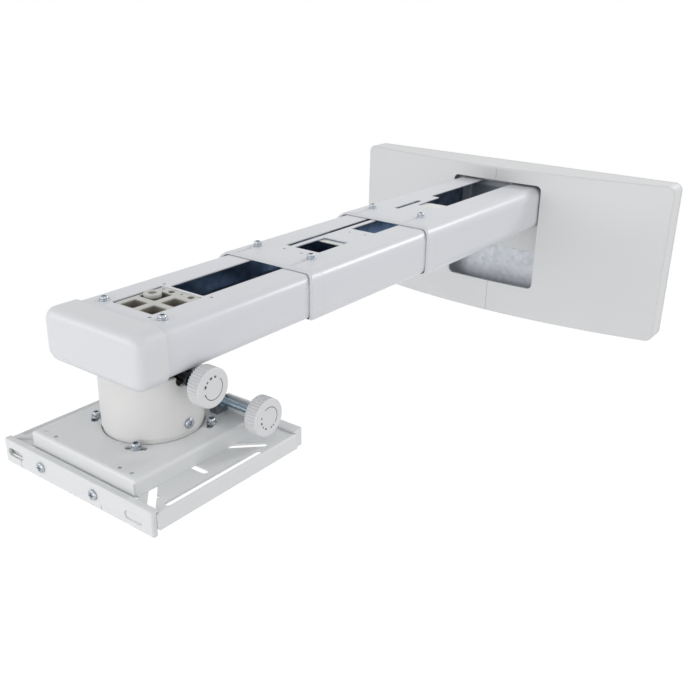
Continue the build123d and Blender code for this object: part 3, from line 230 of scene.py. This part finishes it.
cover_abs = moulded_plastic("moulded ABS cover", "DADBDC", 0.45)
cap_abs = moulded_plastic("moulded ABS cap", "D9DBDE", 0.36)
knob_abs = moulded_plastic("moulded ABS knob", "DADBDD", 0.4)
collar_abs = moulded_plastic("moulded ABS collar", "DADCE1", 0.36)
glide_acetal = moulded_plastic("moulded acetal glide", "E6E6E0", 0.3)
print("materials so far:", len(bpy.data.materials))

# %% [markdown]
# Hot-dip galvanised sheet shows spangle, the zinc crystals that freeze as the sheet cools. Each crystal
# catches the light in its own way, so a Voronoi pattern of about 5 mm drives both colour and roughness.
# Plated zinc is much smoother. Its mottling is too fine to show, so it is drawn with cells of 1.5 mm: bright
# on the screws, duller on the adjuster's block, and dark where the shaft was passivated black.

# %% Zinc
SPANGLE = 5.0 * MM
PLATING_CELL = 1.5 * MM
ZINC_SPREAD = 0.12
ZINC_RELIEF = 0.05 * MM
ZINC_STRENGTH = 0.05


def zinc_surface(name, light, dark, roughness, cell):
    """Zinc with crystals of one size."""
    material, tree, shader, place = start_material(name)
    crystal = add_node(tree, "ShaderNodeTexVoronoi", Vector=place, Scale=1 / cell)
    shade = add_node(tree, "ShaderNodeSeparateColor", Color=crystal.outputs["Color"]).outputs[0]
    tint = add_node(tree, "ShaderNodeMix", {"data_type": "RGBA"}, i0=shade, i6=linear(light),
                    i7=linear(dark))
    tree.links.new(tint.outputs[2], shader.inputs["Base Color"])
    rough = add_node(tree, "ShaderNodeMapRange", Value=shade, To_Min=roughness,
                     To_Max=roughness + ZINC_SPREAD)
    tree.links.new(rough.outputs["Result"], shader.inputs["Roughness"])
    shader.inputs["Metallic"].default_value = 1.0
    finish_bump(tree, shader, crystal.outputs["Distance"], ZINC_STRENGTH, ZINC_RELIEF)
    return material


galvanised = zinc_surface("hot-dip galvanised sheet", "CBCED3", "C2C6CC", 0.5, SPANGLE)
bright_zinc = zinc_surface("bright zinc plated steel", "C2C7CD", "A4ABB3", 0.2, PLATING_CELL)
dark_zinc = zinc_surface("black passivated zinc", "5C6066", "43474C", 0.34, PLATING_CELL)
block_zinc = zinc_surface("zinc plated block", "9EA3A9", "868C93", 0.36, PLATING_CELL)
print("spangle of", round(SPANGLE / MM, 1), "mm on", galvanised.name)

# %% [markdown]
# The rod of the fine adjuster has a rolled thread with a turn for each millimetre. The solid is a smooth
# rod, and at this distance the turns are only fine lines across it, so a wave texture draws them as bump.

# %% The threaded rod
THREAD_PITCH = 1.0 * MM
THREAD_DEPTH = 0.25 * MM
THREAD_STRENGTH = 0.5
WAVE_RADIANS = 20  # a wave texture runs through this many radians in one unit of its scale
STAIN_SIZE = 3.3333 * MM
STAIN_DARKER = 0.8
ROD_ROUGHNESS = 0.25


def threaded_zinc(name, light):
    """Zinc-plated rod whose rolled thread shows as fine rings along X."""
    material, tree, shader, place = start_material(name)
    rings = add_node(tree, "ShaderNodeTexWave", {"bands_direction": "X"}, Vector=place,
                     Scale=2 * math.pi / (WAVE_RADIANS * THREAD_PITCH))
    stain = add_node(tree, "ShaderNodeTexNoise", Vector=place, Scale=1 / STAIN_SIZE, Detail=2.0)
    tint = add_node(tree, "ShaderNodeMix", {"data_type": "RGBA"}, i0=stain.outputs["Fac"],
                    i6=linear(light), i7=linear(light, STAIN_DARKER))
    tree.links.new(tint.outputs[2], shader.inputs["Base Color"])
    shader.inputs["Metallic"].default_value = 1.0
    shader.inputs["Roughness"].default_value = ROD_ROUGHNESS
    finish_bump(tree, shader, rings.outputs["Fac"], THREAD_STRENGTH, THREAD_DEPTH)
    return material


rod_zinc = threaded_zinc("zinc plated threaded rod", "A7B9C6")
rod_low, rod_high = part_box("yaw_rod")
print("the rod is", round((rod_high.x - rod_low.x) / THREAD_PITCH), "turns long")

# %% [markdown]
# The column and the core of the head are die castings. Their skin has a fine pebble under its paint, and
# its tone changes a little from place to place. On the ribbed core the tops of the ribs and of the boss,
# which stands a little higher, keep the paint colour. Just below the tops of the ribs, 2 mm below the boss's
# top, the colour fades to a dark grey: painted shade, for the light that does not reach into the cells.

# %% Painted die castings
PEBBLE_SIZE = 1.4 * MM
PEBBLE_DEPTH = 0.1 * MM
PEBBLE_STRENGTH = 0.25
SKIN_DRIFT_SIZE = 40.0 * MM
SKIN_DARKER = 0.9
SKIN_ROUGHNESS = 0.46
SHADE_FADE = 1.2 * MM
SHADE_DROP = 2.0 * MM


def painted_casting(name, colour, shade_top=None):
    """Painted die casting with a fine pebble; given a height, darker below it as painted shade."""
    material, tree, shader, place = start_material(name)
    pebble = add_node(tree, "ShaderNodeTexNoise", Vector=place, Scale=1 / PEBBLE_SIZE, Detail=3.0)
    drift = add_node(tree, "ShaderNodeTexNoise", Vector=place, Scale=1 / SKIN_DRIFT_SIZE, Detail=2.0)
    skin = add_node(tree, "ShaderNodeMix", {"data_type": "RGBA"}, i0=drift.outputs["Fac"],
                    i6=linear(colour), i7=linear(colour, SKIN_DARKER)).outputs[2]
    if shade_top is not None:
        # Painted shade: below this height the colour fades to a dark grey, for the shade deep in the core's
        # cells.
        height = add_node(tree, "ShaderNodeSeparateXYZ", Vector=place).outputs["Z"]
        painted_shade = add_node(tree, "ShaderNodeMapRange", Value=height, From_Min=shade_top - SHADE_FADE,
                        From_Max=shade_top, To_Min=1.0, To_Max=0.0).outputs["Result"]
        skin = add_node(tree, "ShaderNodeMix", {"data_type": "RGBA"}, i0=painted_shade, i6=skin,
                        i7=linear("7B766E")).outputs[2]
    tree.links.new(skin, shader.inputs["Base Color"])
    shader.inputs["Roughness"].default_value = SKIN_ROUGHNESS
    shader.inputs["IOR"].default_value = PAINT_IOR
    finish_bump(tree, shader, pebble.outputs["Fac"], PEBBLE_STRENGTH, PEBBLE_DEPTH)
    return material


column_paint = painted_casting("painted die casting column", "DFDFDE")
# The core's cells between its ribs get painted shade, starting 2 mm below the core's top.
core_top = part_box("head_core")[1].z
core_paint_and_shade = painted_casting("painted die casting core with painted shade", "CACAC6", core_top - SHADE_DROP)
print("the core's painted shade starts at", round((core_top - SHADE_DROP) / MM, 1), "mm")

# %% [markdown]
# Every solid takes its finish by the name of its node. The screws, the bolts, the studs and the nut are not
# in the list, because all of them are bright zinc.

# %% Give every CAD node its finish
FINISHES = {
    "wall_plate": galvanised,
    "carriage": plate_coat,
    "cover_left": cover_abs,
    "cover_right": cover_abs,
    "end_cap": cap_abs,
    **tube_coats,
    "outer_collar": collar_abs,
    "middle_collar": collar_abs,
    "inner_glides": glide_acetal,
    "middle_glides": glide_acetal,
    "head_core": core_paint_and_shade,
    "column": column_paint,
    "tilt_knob": knob_abs,
    "yaw_knob": knob_abs,
    "yaw_rod": rod_zinc,
    "tilt_shaft": dark_zinc,
    "rod_block": block_zinc,
    "swivel_plate": plate_coat,
    "adapter_plate": plate_coat,
    "front_rail": plate_coat,
    "rear_rail": plate_coat,
}
for name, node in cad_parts.items():
    material = FINISHES.get(name, bright_zinc)
    node.data.materials.clear()
    node.data.materials.append(material)
    print(name, "gets", material.name)

# %% [markdown]
# Each knob carries pad-printed marks: an arc along its turn, and a few dots. The ink is dark and a little
# uneven, because the soft pad that carries it never lets all of it go.

# %% Printing ink
SPECK_SIZE = 1.1111 * MM
SPECK_DEPTH = 0.02 * MM
SPECK_STRENGTH = 0.1
SPECK_PALER = 1.5
INK_ROUGHNESS = 0.5


def printing_ink(name, colour):
    """Pad-printing ink, a little uneven where the pad lifted."""
    material, tree, shader, place = start_material(name)
    speck = add_node(tree, "ShaderNodeTexNoise", Vector=place, Scale=1 / SPECK_SIZE, Detail=2.0)
    tint = add_node(tree, "ShaderNodeMix", {"data_type": "RGBA"}, i0=speck.outputs["Fac"],
                    i6=linear(colour), i7=linear(colour, SPECK_PALER))
    tree.links.new(tint.outputs[2], shader.inputs["Base Color"])
    shader.inputs["Roughness"].default_value = INK_ROUGHNESS
    finish_bump(tree, shader, speck.outputs["Fac"], SPECK_STRENGTH, SPECK_DEPTH)
    return material


ink = printing_ink("pad printing ink", "3C4046")
print("materials so far:", len(bpy.data.materials))

# %% [markdown]
# The ink lies a few hundredths of a millimetre proud of the knob's face, so each mark is a thin strip: one
# short radial edge is spun about the knob's axis and then given its thickness. Angles are in degrees about
# that axis, from +Y towards +Z. A dot is given by its middle angle and by its length and width in mm.

# %% Printed marks on the knobs
INK_HEIGHT = 0.04 * MM
SCALE_RADIUS = 8.6 * MM
ARC_WIDTH = 0.55 * MM
ARC_STEP = 6
LEAST_STEPS = 3
TILT_ARC = (-161, 41)
TILT_DOTS = [(78, 1.9, 1.6), (106, 2.2, 1.7), (133, 1.9, 1.1), (157, 2.3, 1.8), (-161, 1.4, 1.1)]
YAW_ARC = (-43, 120)
YAW_DOTS = [(-60, 1.5, 1.0), (-76, 1.5, 1.0), (-118, 1.7, 1.3), (-143, 1.4, 0.9), (-168, 2.1, 1.4),
            (164, 1.5, 1.2)]


def new_object(name, data):
    """Object with this data, linked to the scene."""
    thing = bpy.data.objects.new(name, data)
    bpy.context.scene.collection.objects.link(thing)
    return thing


def mesh_object(name, mesh, material):
    """Object from a bmesh, dressed in one material."""
    data = bpy.data.meshes.new(name)
    mesh.to_mesh(data)
    mesh.free()
    data.materials.append(material)
    return new_object(name, data)


def new_piece(name, mesh, material, body):
    """Piece from a bmesh, its faces outwards, riding on a body."""
    bmesh.ops.recalc_face_normals(mesh, faces=mesh.faces)
    piece = mesh_object(name, mesh, material)
    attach(piece, body)


def printed_strip(mesh, axis_point, start, end, width):
    """Arc of ink on a face that looks along +X, from one angle to another in degrees."""
    turn = Matrix.Rotation(math.radians(start), 3, "X")
    radii = (SCALE_RADIUS - width / 2, SCALE_RADIUS + width / 2)
    ends = [bmesh.ops.create_vert(mesh, co=axis_point + turn @ Vector((0, radius, 0))) for radius in radii]
    edge = mesh.edges.new([made["vert"][0] for made in ends])
    steps = max(LEAST_STEPS, int((end - start) / ARC_STEP))
    bmesh.ops.spin(mesh, geom=[*edge.verts, edge], cent=axis_point, axis=(1, 0, 0),
                   angle=math.radians(end - start), steps=steps)


def printed_scale(name, knob, body, arc, dots):
    """All the ink of one knob: its arc and its dots."""
    low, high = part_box(knob)
    axis_point = Vector((high.x, (low.y + high.y) / 2, (low.z + high.z) / 2))
    mesh = bmesh.new()
    printed_strip(mesh, axis_point, *arc, ARC_WIDTH)
    for middle, length, width in dots:
        half_turn = math.degrees(length * MM / SCALE_RADIUS) / 2
        printed_strip(mesh, axis_point, middle - half_turn, middle + half_turn, width * MM)
    bmesh.ops.solidify(mesh, geom=mesh.faces[:], thickness=INK_HEIGHT)
    bmesh.ops.translate(mesh, verts=mesh.verts, vec=(INK_HEIGHT, 0, 0))
    print(name, "has", len(mesh.faces), "faces on", knob)
    new_piece(name, mesh, ink, body)


printed_scale("tilt_knob_scale", "tilt_knob", "tilt_drive", TILT_ARC, TILT_DOTS)
printed_scale("yaw_knob_scale", "yaw_knob", "yaw_drive", YAW_ARC, YAW_DOTS)

# %% [markdown]
# The background of a catalogue picture is white paper lit on its own. The floor and the world are white to
# the camera, and to reflections and refractions, while the light that falls on the mount stays plain. The
# light path node tells a material which kind of ray has met it.

# %% Paper floor
FLOOR_DROP = 0.55
FLOOR_HALF = 6.0
PAPER_GREY = (0.9, 0.9, 0.9, 1.0)
PAPER_GLOW = 1.08
GLOW_SHARE = 0.85
low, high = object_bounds()
centre = (low + high) / 2


def seen_rays(tree):
    """1 for camera, glossy and transmission rays."""
    path = add_node(tree, "ShaderNodeLightPath").outputs
    glossy = add_node(tree, "ShaderNodeMath", {"operation": "MAXIMUM"}, i0=path["Is Camera Ray"],
                      i1=path["Is Glossy Ray"]).outputs[0]
    return add_node(tree, "ShaderNodeMath", {"operation": "MAXIMUM"}, i0=glossy,
                    i1=path["Is Transmission Ray"]).outputs[0]


paper = bpy.data.materials.new("white paper floor")
paper.use_nodes = True
paper_tree = paper.node_tree
diffuse = add_node(paper_tree, "ShaderNodeBsdfDiffuse", Color=PAPER_GREY)
glow = add_node(paper_tree, "ShaderNodeEmission", Strength=PAPER_GLOW)
share = add_node(paper_tree, "ShaderNodeMath", {"operation": "MULTIPLY"}, i0=seen_rays(paper_tree),
                 i1=GLOW_SHARE)
blend = add_node(paper_tree, "ShaderNodeMixShader", Fac=share.outputs[0], i1=diffuse.outputs[0],
                 i2=glow.outputs[0])
paper_tree.links.new(blend.outputs[0], paper_tree.nodes["Material Output"].inputs["Surface"])

floor_mesh = bmesh.new()
bmesh.ops.create_grid(floor_mesh, x_segments=1, y_segments=1, size=FLOOR_HALF)
bmesh.ops.translate(floor_mesh, verts=floor_mesh.verts, vec=(centre.x, centre.y, low.z - FLOOR_DROP))
floor = mesh_object("floor", floor_mesh, paper)
print("the floor lies", round(FLOOR_DROP / MM), "mm below the mount")

# %% [markdown]
# The world is the room around the paper. The camera sees it white, and it lights the mount less strongly
# than it looks, so that the lamps decide where light and shade fall.

# %% White world
AMBIENT = 0.6
WHITE = (1.0, 1.0, 1.0, 1.0)
world = bpy.data.worlds.new("studio")
bpy.context.scene.world = world
world.use_nodes = True
world_tree = world.node_tree
strength = add_node(world_tree, "ShaderNodeMapRange", Value=seen_rays(world_tree), To_Min=AMBIENT,
                    To_Max=1.0)
background = world_tree.nodes["Background"]
background.inputs["Color"].default_value = WHITE
world_tree.links.new(strength.outputs["Result"], background.inputs["Strength"])
print("the world's light is", AMBIENT, "of what the camera sees")

# %% [markdown]
# Large soft lamps leave the wide, gentle highlights of a studio picture. Two stand low in front of the arm
# and light its fronts, one stands beside it, and a small one behind draws a bright line along the edges of
# the tubes.

# %% Lamps
LAMP_SIZE = 1.2
RIM_SIZE = 0.5
RIM_TARGET = (0.0, -0.3, 0.05)


def soft_lamp(name, place, target, size, power):
    """Square area lamp aimed at a point."""
    data = bpy.data.lights.new(name, "AREA")
    data.shape = "SQUARE"
    data.size = size
    data.energy = power
    lamp = new_object(name, data)
    aim = Vector(target) - Vector(place)
    lamp.location = place
    lamp.rotation_euler = aim.to_track_quat("-Z", "Y").to_euler()
    print(name, "lamp:", power, "W from", round(aim.length, 2), "m")


soft_lamp("front left", (-1.4, -2.2, 0.6), centre, LAMP_SIZE, 9.9)
soft_lamp("front", (0.3, -2.7, 0.4), centre, LAMP_SIZE, 11.5)
soft_lamp("right", (2.3, -0.9, 0.5), centre, LAMP_SIZE, 5.9)
soft_lamp("rim", (0.75, 1.2, 1.15), RIM_TARGET, RIM_SIZE, 12.0)

# %% [markdown]
# The camera stands to the right of the arm's end and looks down at it. Its place and its lens were solved
# from edges of the mount in the photograph, so lengths in the picture can be compared one to one.

# %% Camera
CAMERA_PLACE = (0.4634, -0.9762, 0.2779)
CAMERA_AZIMUTH = 36.56
CAMERA_ELEVATION = 22.08
CAMERA_ROLL = 1.06
LENS = 45.65
SENSOR_WIDTH = 36.0
CLIP_START = 0.01

camera_data = bpy.data.cameras.new("camera")
camera_data.lens = LENS
camera_data.sensor_width = SENSOR_WIDTH
camera_data.clip_start = CLIP_START
camera = new_object("camera", camera_data)
turn = Matrix.Rotation(math.radians(CAMERA_AZIMUTH), 4, "Z")
tilt = Matrix.Rotation(math.radians(90 - CAMERA_ELEVATION), 4, "X")
roll = Matrix.Rotation(math.radians(CAMERA_ROLL), 4, "Z")
camera.matrix_world = Matrix.Translation(CAMERA_PLACE) @ turn @ tilt @ roll
bpy.context.scene.camera = camera
bpy.context.scene.view_settings.view_transform = "Standard"
print("the camera is", round((centre - Vector(CAMERA_PLACE)).length, 2), "m from the mount's centre")
